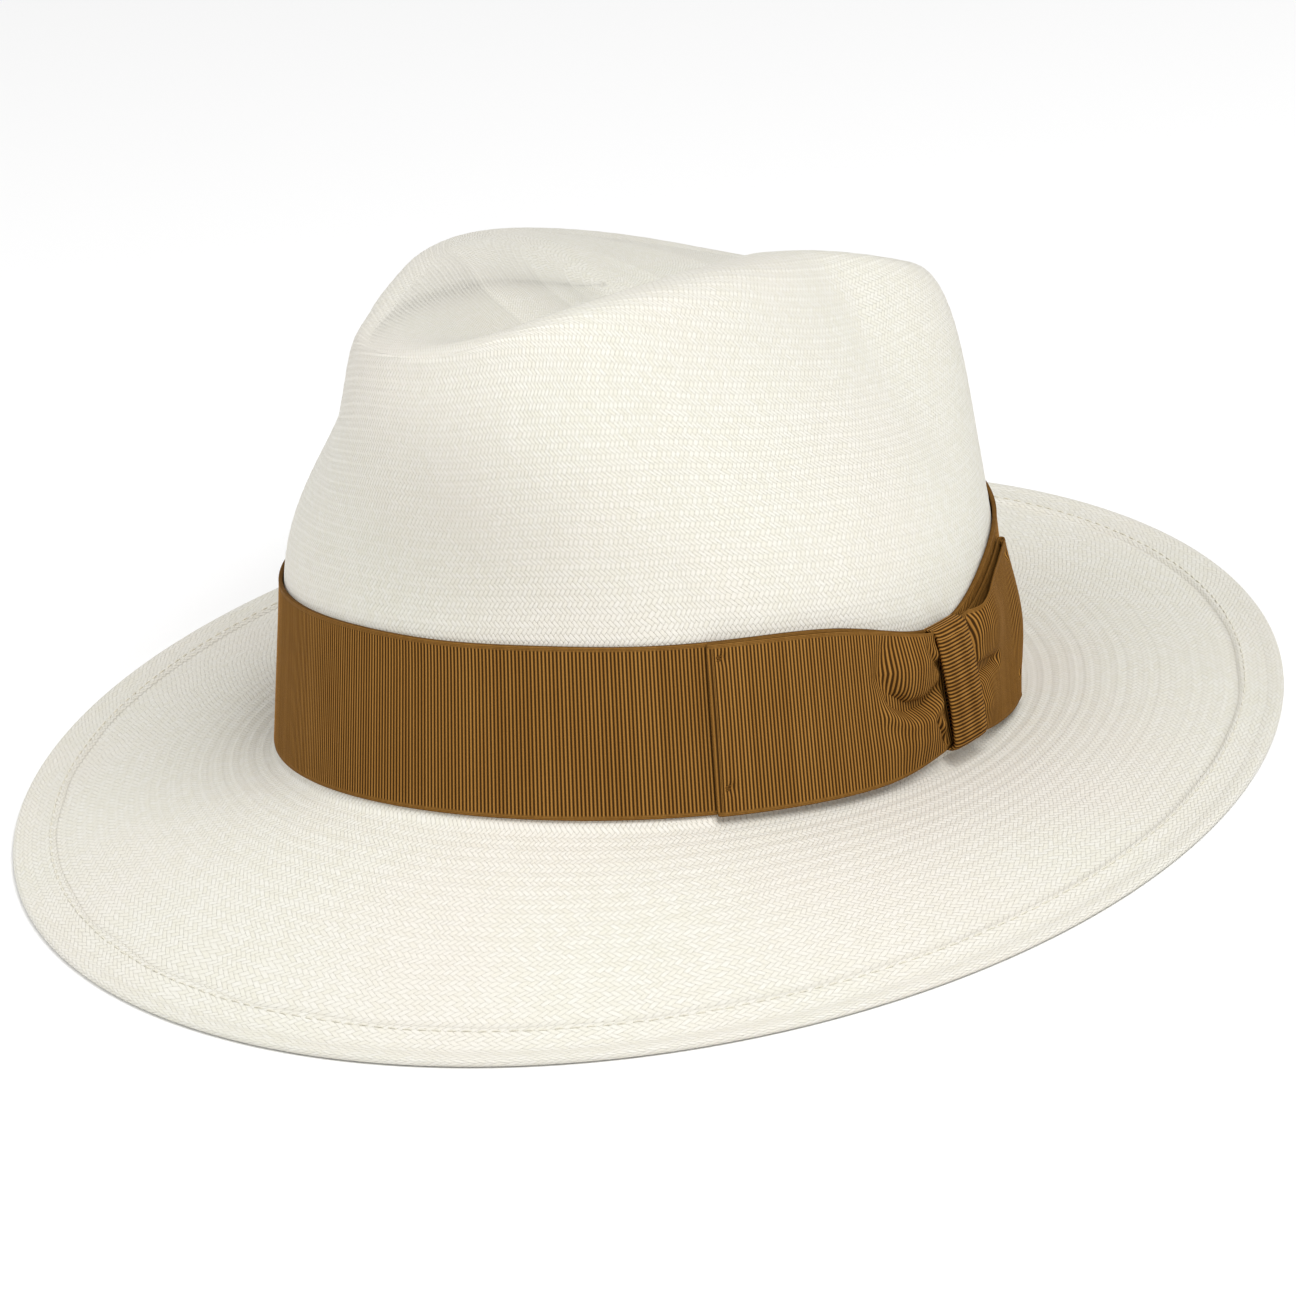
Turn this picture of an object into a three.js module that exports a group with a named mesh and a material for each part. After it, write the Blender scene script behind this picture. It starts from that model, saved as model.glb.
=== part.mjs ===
// A panama hat: one woven straw body with a folded hem, a grosgrain ribbon with a flat
// bow on the wearer's left, and a leather sweatband sewn inside.
// Millimetres, +Z up. The hat stands on its brim. The origin is under its middle, the
// front faces -Y and the bow is on the +X side.
//
// Everything is first laid out in the crown's own frame, whose z = 0 is the plane where
// the crown meets the brim, and then leaned back by LEAN so that the brim edge lies flat.
// An angle phi goes round the crown from the front, towards the bow.

import * as THREE from 'three';

// ---- driving dimensions ----

const LEAN = THREE.MathUtils.degToRad(7);  // how far the crown leans back
const FOOT_LIFT = 14.5;                    // height of the middle of the crown's foot
const SIDE_DROP = 5.2;                     // the foot curves down this far at the sides

const STRAW = 1.2;                         // thickness of the weave
const HEM = 2.0;                           // thickness where the edge is folded over
const GAP = 0.3;                           // clearance between two pieces that touch

// Crown, measured outside the straw.
const FOOT = { x: 85.5, y: 101, egg: 0.011 };      // half width, half length, wider front
const TAPER = 0.0011;                      // share of the width lost for each mm of height
const SHOULDER = 3.9;                      // superellipse power: how square the shoulder is
const OPEN_RIDGE = { x: 56, y: 78.6, midY: -10.2 };   // ridge oval before the pinches
const RIDGE = { midY: -18.4, halfLength: 88.6, nose: 45.5, tilt: -0.035 };
const PEAK = { z: 116.1, y: -43.5, noseDrop: 1.6, backDrop: 28.8, power: 1.43 };

// The ridge's half width on each side, and the degrees round it over which it changes.
const FLANK = {
  bow: { front: 38.8, noseArc: 43.6, back: 61.3, backFrom: 96.7, backOver: 33.6 },
  plain: { front: 27.1, noseArc: 50.8, back: 58.6, backFrom: 57.1, backOver: 115.6 },
};

// Small rises and dips along the ridge: height in mm, place and spread in degrees.
const NOSE_ARC = 25;                       // the bow side's own rise starts over this arc
const NOSE_RISE = { height: 1.5, spread: 20 };
const BACK_DIP = { depth: 3.2, spread: 24 };
const BOW_SIDE_RISE = [{ height: 5.9, at: 42.5, spread: 42.8 }, { height: 3.3, at: 105, spread: 21 }];

const PINCH = { low: 39.7, high: 105.2 };  // the pinches deepen between these heights
const DENT = { depth: 20.3, bottom: 0.66, x: -4, y: -8 };   // x and y of the weave's centre
const DENT_FADE = { nose: 52, back: 75 };  // the dent deepens over these lengths from its ends

// Brim.
const BRIM = { width: 65.5, hem: 11, flat: 5, arch: 1.5 };
const FILLET = 2.2;                        // radius where the wall turns into the brim

// Ribbon and bow. The knot gathers the wings and the ribbon under them.
const RIBBON = { height: 40.3, thick: 0.8, low: 2.1, backRise: 3 };
const BOW = { middle: 83.5, knotHalf: 3.9 };
const WINGS = { front: { side: -1, reach: 43.5, drop: 0 }, rear: { side: 1, reach: 28, drop: 2.2 } };
const GATHER = { dip: 9, dipArc: 17, lift: 3.5, liftArc: 10 };
const WING = { flat: 1.9, puff: 4.8, neck: 3.2 };
const KNOT = { thick: 5.2, low: 2.4, high: 32.3 };
const TACK = { length: 3.2, thick: 0.7, top: 3.5, bottom: 6.5, arc: 1.5 };

// Sweatband and what is sewn to it.
const SWEATBAND = { low: 1.0, high: 37, thick: 1.1 };
const REED = { radius: 0.8, z: -0.2 };
const THREAD = 0.3;                        // radius of the sewing threads
const SEAM_BOW = { z: 12, halfWidth: 15, halfHeight: 5, waist: 2, thick: 1.6 };
const BACK_RADIUS = 62;                     // curve of the sweatband at the back
const LABEL = { phi: 160, z: 24, width: 22, height: 12, thick: 0.5 };

const AROUND = 64;                         // facets round the hat

// ---- small helpers ----

const { sin, cos, hypot, PI } = Math;
const rad = THREE.MathUtils.degToRad;
const mix = THREE.MathUtils.lerp;
const clamp01 = (u) => THREE.MathUtils.clamp(u, 0, 1);
const ease = (u) => THREE.MathUtils.smoothstep(u, 0, 1);
const bump = (u) => Math.exp(-(u ** 2));
const steps = (n, from = 0, to = 1) => Array.from({ length: n + 1 }, (_, i) => mix(from, to, i / n));
const turns = (n) => Array.from({ length: n }, (_, i) => (2 * PI * i) / n);

// ---- shape of the straw, in the crown's frame ----

// The foot's height in the crown's frame.
const footZ = (phi) => -SIDE_DROP * sin(phi) ** 2;

// Outward direction of the foot oval at phi.
function outward(phi) {
  return new THREE.Vector3(sin(phi) / FOOT.x, -cos(phi) / FOOT.y, 0).normalize();
}

// A point beside the crown's wall: `out` mm outside the straw, at height z.
function besideWall(phi, out, z) {
  const k = 1 - TAPER * z;
  const egg = 1 + FOOT.egg * cos(phi);
  const wall = new THREE.Vector3(FOOT.x * k * egg * sin(phi), -FOOT.y * k * cos(phi), z);
  return wall.addScaledVector(outward(phi), out);
}

// Height of the ridge round the dent: it dips at the nose and falls towards the back.
function ridgeHeight(y) {
  const ahead = Math.max(0, (PEAK.y - y) / 35);
  const behind = Math.max(0, (y - PEAK.y) / 128);
  return PEAK.z - PEAK.noseDrop * ahead ** 2 - PEAK.backDrop * behind ** PEAK.power;
}

// The ridge seen from above is a teardrop: narrow in front, where the crown is pinched.
function ridgePoint(phi) {
  const side = Math.acos(cos(phi)) * THREE.MathUtils.RAD2DEG;
  const onBowSide = sin(phi) > 0;
  const flank = onBowSide ? FLANK.bow : FLANK.plain;
  const nose = (RIDGE.nose - flank.front) * (1 - ease(side / flank.noseArc));
  const back = (flank.back - flank.front) * ease((side - flank.backFrom) / flank.backOver);
  const x = (flank.front + nose + back) * sin(phi);
  const y = RIDGE.midY - RIDGE.halfLength * cos(phi);
  let z = ridgeHeight(y) + RIDGE.tilt * x;
  z += NOSE_RISE.height * bump(side / NOSE_RISE.spread);
  z -= BACK_DIP.depth * bump((180 - side) / BACK_DIP.spread);
  if (onBowSide) {
    for (const { height, at, spread } of BOW_SIDE_RISE) {
      z += height * ease(side / NOSE_ARC) * bump((side - at) / spread);
    }
  }
  return new THREE.Vector3(x, y, z);
}

// The wall, from the foot (v = 0) to the ridge (v = 1).
function wallPoint(phi, v) {
  const ridge = ridgePoint(phi);
  const z = ridge.z * v;
  const inwards = 1 - (1 - v ** SHOULDER) ** (1 / SHOULDER);
  const open = new THREE.Vector3(OPEN_RIDGE.x * sin(phi), OPEN_RIDGE.midY - OPEN_RIDGE.y * cos(phi), z);
  const point = besideWall(phi, 0, z).lerp(open, inwards);
  const depth = (height) => ease((height - PINCH.low) / (PINCH.high - PINCH.low));
  const pinched = depth(z) / Math.max(depth(ridge.z), 1e-3);
  point.x += (ridge.x - open.x) * pinched;
  point.y += (ridge.y - open.y) * pinched;
  return point;
}

// The dent is a trough between the two flanks of the ridge, closed at the nose and the back.
// Its bottom is a share of the way from the plain flank to the bow's.
function dentHeight(x, y) {
  const side = Math.acos(THREE.MathUtils.clamp((RIDGE.midY - y) / RIDGE.halfLength, -1, 1));
  const plain = ridgePoint(-side);
  const bow = ridgePoint(side);
  const t = clamp01((x - plain.x) / Math.max(bow.x - plain.x, 1));
  const fromNose = y - (RIDGE.midY - RIDGE.halfLength);
  const fromBack = RIDGE.midY + RIDGE.halfLength - y;
  const depth = DENT.depth * ease(fromNose / DENT_FADE.nose) * ease(fromBack / DENT_FADE.back);
  return mix(plain.z, bow.z, ease(t)) - depth * ease(Math.min(t / DENT.bottom, (1 - t) / (1 - DENT.bottom)));
}

// A point of the dent, from the ridge (w = 0) to the centre of the weave (w = 1).
function dentPoint(phi, w) {
  const ridge = ridgePoint(phi);
  const x = mix(ridge.x, DENT.x, w);
  const y = mix(ridge.y, DENT.y, w);
  return new THREE.Vector3(x, y, dentHeight(x, y));
}

// Lean a point of the crown's frame back and lift it onto the brim.
const leaned = (p) => new THREE.Vector3(
  p.x,
  p.y * cos(LEAN) + p.z * sin(LEAN),
  -p.y * sin(LEAN) + p.z * cos(LEAN) + FOOT_LIFT,
);

// ---- the brim, as it stands ----

// Underside of the brim, s mm out from the crown's foot.
function brimUnderside(phi, s) {
  const plan = besideWall(phi, s, 0);
  const rise = FOOT_LIFT - STRAW + FOOT.y * cos(phi) * sin(LEAN) + footZ(phi);
  const u = clamp01(s / (BRIM.width - BRIM.flat));
  const z = rise * (1 - u) + BRIM.arch * 4 * u * (1 - u);
  const y = (plan.y + (z - FOOT_LIFT) * sin(LEAN)) / cos(LEAN);
  return new THREE.Vector3(plan.x, y, z);
}

// Upper side of the brim, with the small fillet at the foot of the wall.
function brimUpper(phi, s) {
  const point = brimUnderside(phi, s);
  const turn = s < FILLET ? FILLET - Math.sqrt(FILLET ** 2 - (FILLET - s) ** 2) : 0;
  point.z += (s > BRIM.width - BRIM.hem ? HEM : STRAW) + turn;
  return point;
}

// The brim edge's front and back set the middle of the hat.
const EDGE_MIDDLE = (brimUnderside(0, BRIM.width).y + brimUnderside(PI, BRIM.width).y) / 2;

// ---- closed bodies ----

// Joins rings of points, each with the same count, into one closed body. With `loop`, the
// last ring joins the first. Otherwise each end is closed by a fan about its middle.
function loft(rings, loop = false) {
  const n = rings[0].length;
  const points = rings.flat();
  const faces = [];
  const last = loop ? rings.length : rings.length - 1;
  for (let i = 0; i < last; i += 1) {
    const here = i * n;
    const next = ((i + 1) % rings.length) * n;
    for (let j = 0; j < n; j += 1) {
      const k = (j + 1) % n;
      faces.push(here + j, next + j, next + k, here + j, next + k, here + k);
    }
  }
  if (!loop) {
    for (const [start, flip] of [[0, false], [(rings.length - 1) * n, true]]) {
      const middle = new THREE.Vector3();
      for (let j = 0; j < n; j += 1) middle.addScaledVector(points[start + j], 1 / n);
      const hub = points.push(middle) - 1;
      for (let j = 0; j < n; j += 1) {
        const a = start + j;
        const b = start + ((j + 1) % n);
        if (flip) faces.push(hub, b, a);
        else faces.push(hub, a, b);
      }
    }
  }
  return facingOut(points, faces);
}

// Turns the faces over if they enclose a negative volume.
function facingOut(points, faces) {
  let volume = 0;
  const cross = new THREE.Vector3();
  for (let f = 0; f < faces.length; f += 3) {
    const [a, b, c] = [points[faces[f]], points[faces[f + 1]], points[faces[f + 2]]];
    volume += a.dot(cross.crossVectors(b, c));
  }
  const index = volume > 0 ? faces : faces.slice().reverse();
  const geometry = new THREE.BufferGeometry().setFromPoints(points);
  geometry.setIndex(index);
  geometry.computeVertexNormals();
  return geometry;
}

// ---- materials ----

const finish = (color, roughness) => new THREE.MeshStandardMaterial({ color, roughness, metalness: 0 });
const straw = () => finish(0xeeece2, 0.62);
const thread = () => finish(0xe9e4d2, 0.8);
const grosgrain = () => finish(0x8a6430, 0.55);
const leather = () => finish(0xc9a77a, 0.5);

const hat = new THREE.Group();

function add(name, geometry, material) {
  const mesh = new THREE.Mesh(geometry, material);
  mesh.name = name;
  hat.add(mesh);
  return mesh;
}

// ---- straw body: crown and brim woven in one, hem folded over ----

const RIBBON_TOP = RIBBON.low + RIBBON.height + 1;  // just above the ribbon

// Upper side of the straw, as rings from the centre of the weave out to the brim edge.
function upperRings() {
  const rings = [];
  const ring = (at) => turns(AROUND).map(at);
  for (const w of [0.93, 0.75, 0.56, 0.38, 0.22, 0.1]) rings.push(ring((phi) => leaned(dentPoint(phi, w))));
  for (const v of [1, 0.985, 0.94, 0.86, 0.76, 0.66, 0.56, 0.46]) {
    rings.push(ring((phi) => leaned(wallPoint(phi, v))));
  }
  rings.push(ring((phi) => leaned(wallPoint(phi, RIBBON_TOP / ridgePoint(phi).z))));
  for (const z of [24, FILLET]) rings.push(ring((phi) => leaned(besideWall(phi, 0, z + footZ(phi)))));
  for (const s of [FILLET * 0.3, FILLET, 20, 40, BRIM.width - BRIM.hem - 0.4]) {
    rings.push(ring((phi) => brimUpper(phi, s)));
  }
  for (const s of [BRIM.width - BRIM.hem + 0.1, BRIM.width - BRIM.flat, BRIM.width]) {
    rings.push(ring((phi) => brimUpper(phi, s)));
  }
  return rings;
}

// The same rings one thickness inside. The normal comes from the neighbouring points.
function insideRings(rings) {
  return rings.map((ring, i) => ring.map((point, j) => {
    const ahead = ring[(j + 1) % AROUND];
    const behind = ring[(j + AROUND - 1) % AROUND];
    const inner = rings[Math.max(i - 1, 0)][j];
    const outer = rings[Math.min(i + 1, rings.length - 1)][j];
    const round = ahead.clone().sub(behind);
    const across = outer.clone().sub(inner);
    const normal = across.cross(round).normalize();
    if (normal.z < 0 && i < 6) normal.negate();
    return point.clone().addScaledVector(normal, -STRAW);
  }));
}

function strawBody() {
  const upper = upperRings();
  const brimStart = upper.length - 8;
  const crownInside = insideRings(upper).slice(0, brimStart);
  const under = [1.6, FILLET + 1, 20, 40, BRIM.width - BRIM.hem - 0.4, BRIM.width - BRIM.flat, BRIM.width];
  const brimUnder = under.map((s) => turns(AROUND).map((phi) => brimUnderside(phi, s)));
  return loft([...upper, ...brimUnder.reverse(), ...crownInside.reverse()]);
}

add('straw_body', strawBody(), straw());

// ---- rings that run round the crown ----

// Sweeps a section round the crown. `section(phi)` gives its corners.
const hoop = (section) => loft(turns(AROUND).map(section), true);

// A square thread of the given radius about a point beside the wall.
function threadSection(phi, out, z, radius) {
  const corners = [[1, 0], [0, 1], [-1, 0], [0, -1]];
  return corners.map(([a, b]) => besideWall(phi, out + a * radius, z + footZ(phi) + b * radius));
}

// Edges of the ribbon. They draw together towards the knot.
const gather = (phi, arc) => bump((phi / rad(1) - BOW.middle) / arc);
const smoothLow = (phi) => RIBBON.low + footZ(phi) + RIBBON.backRise * Math.max(0, -cos(phi)) ** 2;
const ribbonLow = (phi) => smoothLow(phi) + GATHER.lift * gather(phi, GATHER.liftArc);
const ribbonHigh = (phi) => smoothLow(phi) + RIBBON.height - GATHER.dip * gather(phi, GATHER.dipArc);

function ribbonSection(phi) {
  const low = ribbonLow(phi);
  const high = ribbonHigh(phi);
  const face = GAP + RIBBON.thick;
  const corners = [[GAP, low], [face, low], [face, high], [GAP, high]];
  return corners.map(([out, z]) => leaned(besideWall(phi, out, z)));
}

add('ribbon_band', hoop(ribbonSection), grosgrain());

const BAND_OUT = -(STRAW + GAP);                    // outer face of the sweatband
const BAND_IN = BAND_OUT - SWEATBAND.thick;         // its inner face, against the head

function sweatbandSection(phi) {
  const { low, high } = SWEATBAND;
  const corners = [[BAND_OUT, low], [BAND_OUT, high], [BAND_IN, high], [BAND_IN, low]];
  return corners.map(([out, z]) => leaned(besideWall(phi, out, z + footZ(phi))));
}

add('sweatband', hoop(sweatbandSection), leather());

const reedOut = BAND_OUT - REED.radius;
add('sweatband_reed', hoop((phi) => threadSection(phi, reedOut, REED.z, REED.radius).map(leaned)), thread());

const stitchOut = BAND_IN - GAP - THREAD;
const stitchZ = SWEATBAND.low + 3;
const bandStitch = (phi) => threadSection(phi, stitchOut, stitchZ, THREAD).map(leaned);
add('sweatband_stitching', hoop(bandStitch), thread());

// The hem's sewing thread lies on the upper side of the brim, just outside the fold.
function hemThreadSection(phi) {
  const centre = brimUpper(phi, BRIM.width - BRIM.hem + 1.5);
  centre.z += GAP + THREAD;
  const out = outward(phi);
  return [[1, 0], [0, 1], [-1, 0], [0, -1]].map(([a, b]) => {
    const corner = centre.clone().addScaledVector(out, a * THREAD);
    corner.z += b * THREAD;
    return corner;
  });
}

add('brim_hem_thread', hoop(hemThreadSection), thread());

// ---- bow ----

const BOW_IN = GAP + RIBBON.thick + GAP;            // the bow's back, clear of the ribbon
const knotEdge = (side) => BOW.middle + side * BOW.knotHalf;

// A slab that follows the ribbon between two angles. `profile(phi, t)` gives its low and
// high edges and its thickness, for t from 0 at the free end to 1 at the knot.
function bandSlab(from, to, count, profile) {
  const rings = steps(count).map((t) => {
    const phi = rad(mix(from, to, t));
    const { low, high, thick } = profile(phi, t);
    const round = (high - low) * 0.12;
    const corners = [
      [BOW_IN, low], [BOW_IN + thick * 0.7, low], [BOW_IN + thick, low + round],
      [BOW_IN + thick, high - round], [BOW_IN + thick * 0.7, high], [BOW_IN, high],
    ];
    return corners.map(([out, z]) => leaned(besideWall(phi, out, z)));
  });
  return loft(rings);
}

// A wing is flat at its folded end, and thickens and puffs out next to the knot.
// The rear wing's upper edge runs a little lower than the ribbon's.
function wing({ side, reach, drop }) {
  const profile = (phi, t) => {
    const puff = bump((t - 0.8) / 0.18);
    const thick = mix(WING.flat, WING.neck, ease((t - 0.45) / 0.55)) + (WING.puff - WING.neck) * puff;
    return { low: ribbonLow(phi), high: ribbonHigh(phi) - drop * ease((1 - t) / 0.4), thick };
  };
  return bandSlab(BOW.middle + side * reach, knotEdge(side) + side * 0.2, 16, profile);
}

for (const [end, shape] of Object.entries(WINGS)) add(`bow_${end}_wing`, wing(shape), grosgrain());

const knotFoot = footZ(rad(BOW.middle)) + RIBBON.low;
const knotProfile = () => ({ low: knotFoot + KNOT.low, high: knotFoot + KNOT.high, thick: KNOT.thick });
add('bow_knot', bandSlab(knotEdge(-1), knotEdge(1), 4, knotProfile), grosgrain());

// Thread tacks hold the folded ends of the bow to the ribbon, top and bottom.
function tack({ side, reach }, height) {
  const phi = rad(BOW.middle + side * (reach - TACK.arc));
  const out = BOW_IN + WING.flat + GAP + TACK.thick / 2 + 0.1;
  const geometry = new THREE.BoxGeometry(TACK.length, TACK.thick, TACK.thick);
  geometry.rotateZ(Math.atan2(outward(phi).x, -outward(phi).y));
  geometry.rotateX(-LEAN);
  const place = leaned(besideWall(phi, out, ribbonLow(phi) + height));
  return geometry.translate(place.x, place.y, place.z);
}

const tackRows = { bottom: TACK.bottom, top: RIBBON.height - TACK.top };
for (const [end, shape] of Object.entries(WINGS)) {
  for (const [row, height] of Object.entries(tackRows)) {
    add(`bow_tack_${end}_${row}`, tack(shape, height), grosgrain());
  }
}

// ---- small bow on the sweatband's back seam, and the blank size label ----

// A flat outline on the inner face of the sweatband, centred at phi and z. It stands in
// far enough for its ends to clear the curve of the leather and its top to clear the taper.
function onSweatband(outline, phiDegrees, z, thick) {
  const phi = rad(phiDegrees);
  const geometry = new THREE.ExtrudeGeometry(new THREE.Shape(outline), { depth: thick, bevelEnabled: false });
  geometry.translate(0, 0, -thick);
  geometry.rotateX(PI / 2);
  geometry.rotateZ(Math.atan2(outward(phi).x, -outward(phi).y));
  const halfWidth = Math.max(...outline.map((corner) => corner.x));
  const halfHeight = Math.max(...outline.map((corner) => corner.y));
  const standIn = GAP + halfWidth ** 2 / (2 * BACK_RADIUS) + TAPER * FOOT.y * halfHeight;
  const place = besideWall(phi, BAND_IN - standIn, z + footZ(phi));
  geometry.translate(place.x, place.y, place.z);
  geometry.rotateX(-LEAN);
  return geometry.translate(0, 0, FOOT_LIFT);
}

const bowTie = [[-1, -1], [-0.12, -0.4], [0.12, -0.4], [1, -1], [1, 1], [0.12, 0.4], [-0.12, 0.4], [-1, 1]];
const seamBow = bowTie.map(([x, y]) => new THREE.Vector2(x * SEAM_BOW.halfWidth, y * SEAM_BOW.halfHeight));
add('sweatband_bow', onSweatband(seamBow, 180, SEAM_BOW.z, SEAM_BOW.thick), grosgrain());

const card = [[-1, -1], [1, -1], [1, 1], [-1, 1]];
const slip = card.map(([x, y]) => new THREE.Vector2((x * LABEL.width) / 2, (y * LABEL.height) / 2));
add('size_label', onSweatband(slip, LABEL.phi, LABEL.z, LABEL.thick), finish(0xf2efe6, 0.7));

// Bring the middle of the brim over the origin.
for (const mesh of hat.children) mesh.geometry.translate(0, -EDGE_MIDDLE, 0);

export default hat;
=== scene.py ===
import math

import bpy
import numpy as np
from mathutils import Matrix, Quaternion, Vector


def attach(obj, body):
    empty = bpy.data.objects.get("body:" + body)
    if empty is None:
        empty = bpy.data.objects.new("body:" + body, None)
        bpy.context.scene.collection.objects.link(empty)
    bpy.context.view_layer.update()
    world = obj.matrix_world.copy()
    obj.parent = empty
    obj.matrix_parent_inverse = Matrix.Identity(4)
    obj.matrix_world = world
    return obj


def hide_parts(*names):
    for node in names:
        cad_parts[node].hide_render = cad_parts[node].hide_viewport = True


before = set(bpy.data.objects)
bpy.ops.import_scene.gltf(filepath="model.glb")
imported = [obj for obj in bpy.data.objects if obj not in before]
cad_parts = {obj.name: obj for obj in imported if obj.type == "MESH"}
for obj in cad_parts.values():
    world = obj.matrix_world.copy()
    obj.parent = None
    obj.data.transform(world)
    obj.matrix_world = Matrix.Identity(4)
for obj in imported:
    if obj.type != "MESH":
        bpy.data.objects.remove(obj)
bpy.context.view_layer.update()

# Shapes are worked out in millimetres, in the crown's own frame, whose z = 0 is the plane
# where the crown meets the brim. lean() leans them back and place() turns them into metres.
# phi goes round the crown from the front towards the bow, which is on the +X side.

# ---- dimensions of the hat ----

LEAN = math.radians(7)
FOOT_LIFT = 14.5
SIDE_DROP = 5.2
STRAW = 1.2
HEM = 2.0
FOOT_X, FOOT_Y, EGG = 85.5, 101.0, 0.011
TAPER = 0.0011
SHOULDER = 3.9
BRIM_WIDTH, HEM_WIDTH, BRIM_FLAT, BRIM_ARCH = 65.5, 11.0, 5.0, 1.5
FILLET = 2.2
RIDGE_MIDDLE, RIDGE_REACH = -18.4, 88.6     # the ridge's middle and half length, along y
DENT_DEPTH = 20.3
DENT_BOTTOM = 0.66    # the bottom's share of the way from the plain flank to the bow's
DENT_NOSE, DENT_BACK = -107, 70.2           # the ends of the dent, along y
NOSE_FADE, BACK_FADE = 52, 75               # the dent deepens over these lengths
WEAVE_MIDDLE = (-10.0, 6.0)                 # where the plaiting starts, inside the dent
EDGE_ROUND = 0.9      # radius of the brim's edge

ROW = 1.83            # height of one row of the weave
STITCHES = 256        # stitches round the wall and the brim
RELIEF = 0.13         # how far a row stands proud of the line between two rows

RIBBON_HEIGHT = 40.3
RIBBON_LOW = 2.1
RIBBON_BACK_RISE = 3.0
RIB = 0.9             # pitch of the grosgrain's ribs
RIB_DEPTH = 0.20
SELVEDGE = 1.3
BOW_MIDDLE, KNOT_HALF = 83.5, 3.9
FRONT_END, REAR_END = 40.0, 111.5
BOW_BACK = 1.4
CLOTH = 0.42          # thickness of the bow's ribbon
GATHER_LIFT, LIFT_ARC = 3.5, 10       # the knot draws the ribbon's low edge up, in mm and degrees
GATHER_DIP, DIP_ARC = 9.0, 17         # and its high edge down
REAR_DROP = 2.2
KNOT_LOW, KNOT_TALL, KNOT_THICK, KNOT_ROUND = 2.4, 29.9, 5.2, 2.1


# ---- shape of the straw ----

def ease(u):
    u = np.clip(u, 0, 1)
    return u * u * (3 - 2 * u)


def bump(u):
    return np.exp(-np.square(u))


def foot_z(phi):
    return -SIDE_DROP * np.sin(phi) ** 2


def outward(phi):
    x, y = np.sin(phi) / FOOT_X, -np.cos(phi) / FOOT_Y
    size = np.hypot(x, y)
    return x / size, y / size


def beside(phi, out, z):
    """A point beside the crown's wall, out mm outside the straw, at height z."""
    phi, out, z = np.broadcast_arrays(phi, out, z)
    k = 1 - TAPER * z
    nx, ny = outward(phi)
    x = FOOT_X * k * (1 + EGG * np.cos(phi)) * np.sin(phi) + out * nx
    y = -FOOT_Y * k * np.cos(phi) + out * ny
    return np.stack([x, y, z.astype(float)], -1)


def ridge_height(y):
    ahead = np.maximum(0, (-43.5 - y) / 35)
    behind = np.maximum(0, (y + 43.5) / 128)
    return 116.1 - 1.6 * ahead ** 2 - 28.8 * behind ** 1.43


def ridge(phi):
    """The ridge round the dent: a teardrop, a little different on its two sides."""
    side = np.degrees(np.arccos(np.clip(np.cos(phi), -1, 1)))
    bow = np.sin(phi) > 0
    front, nose_arc = np.where(bow, 38.8, 27.1), np.where(bow, 43.6, 50.8)
    back, start, over = np.where(bow, 61.3, 58.6), np.where(bow, 96.7, 57.1), np.where(bow, 33.6, 115.6)
    half = front + (45.5 - front) * (1 - ease(side / nose_arc)) + (back - front) * ease((side - start) / over)
    x = half * np.sin(phi)
    y = RIDGE_MIDDLE - RIDGE_REACH * np.cos(phi)
    z = ridge_height(y) - 0.035 * x + 1.5 * bump(side / 20) - 3.2 * bump((180 - side) / 24)
    rise = 5.9 * bump((side - 42.5) / 42.8) + 3.3 * bump((side - 105) / 21)
    return np.stack([x, y, z + np.where(bow, rise * ease(side / 25), 0)], -1)


def pinch(z):
    return ease((z - 39.7) / 65.5)


def wall(phi, z):
    """The wall at height z, bent in to the ridge and pinched."""
    top = ridge(phi)
    v = np.clip(z / top[..., 2], 0, 1)
    inwards = (1 - (1 - v ** SHOULDER) ** (1 / SHOULDER))[..., None]
    opened = np.stack([56 * np.sin(phi) + 0 * z, -10.2 - 78.6 * np.cos(phi) + 0 * z, z + 0 * phi], -1)
    point = beside(phi, 0, z) * (1 - inwards) + opened * inwards
    share = pinch(z) / np.maximum(pinch(top[..., 2]), 1e-3)
    point[..., :2] += (top - opened)[..., :2] * share[..., None]
    return point


def dent_height(x, y):
    """A trough between the ridge's two flanks, closed at the nose and the back."""
    side = np.arccos(np.clip((RIDGE_MIDDLE - y) / RIDGE_REACH, -1, 1))
    plain, bow = ridge(-side), ridge(side)
    t = np.clip((x - plain[..., 0]) / np.maximum(bow[..., 0] - plain[..., 0], 1), 0, 1)
    depth = DENT_DEPTH * ease((y - DENT_NOSE) / NOSE_FADE) * ease((DENT_BACK - y) / BACK_FADE)
    edge = plain[..., 2] + (bow[..., 2] - plain[..., 2]) * ease(t)
    return edge - depth * ease(np.minimum(t / DENT_BOTTOM, (1 - t) / (1 - DENT_BOTTOM)))


def lean(p):
    x, y, z = p[..., 0], p[..., 1], p[..., 2]
    c, s = math.cos(LEAN), math.sin(LEAN)
    return np.stack([x, y * c + z * s, z * c - y * s + FOOT_LIFT], -1)


def brim_under(phi, s):
    phi, s = np.broadcast_arrays(phi, s)
    plan = beside(phi, s, np.zeros(s.shape))
    rise = FOOT_LIFT - STRAW + FOOT_Y * np.cos(phi) * math.sin(LEAN) + foot_z(phi)
    u = np.clip(s / (BRIM_WIDTH - BRIM_FLAT), 0, 1)
    z = rise * (1 - u) + BRIM_ARCH * 4 * u * (1 - u)
    y = (plan[..., 1] + (z - FOOT_LIFT) * math.sin(LEAN)) / math.cos(LEAN)
    return np.stack([plan[..., 0], y, z], -1)


EDGE_MIDDLE = float(brim_under(np.array([0.0, math.pi]), BRIM_WIDTH)[:, 1].mean())


def place(p):
    """The shared frame, in metres, from a leaned point in millimetres."""
    return (np.asarray(p) - np.array([0, EDGE_MIDDLE, 0])) / 1000


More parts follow.
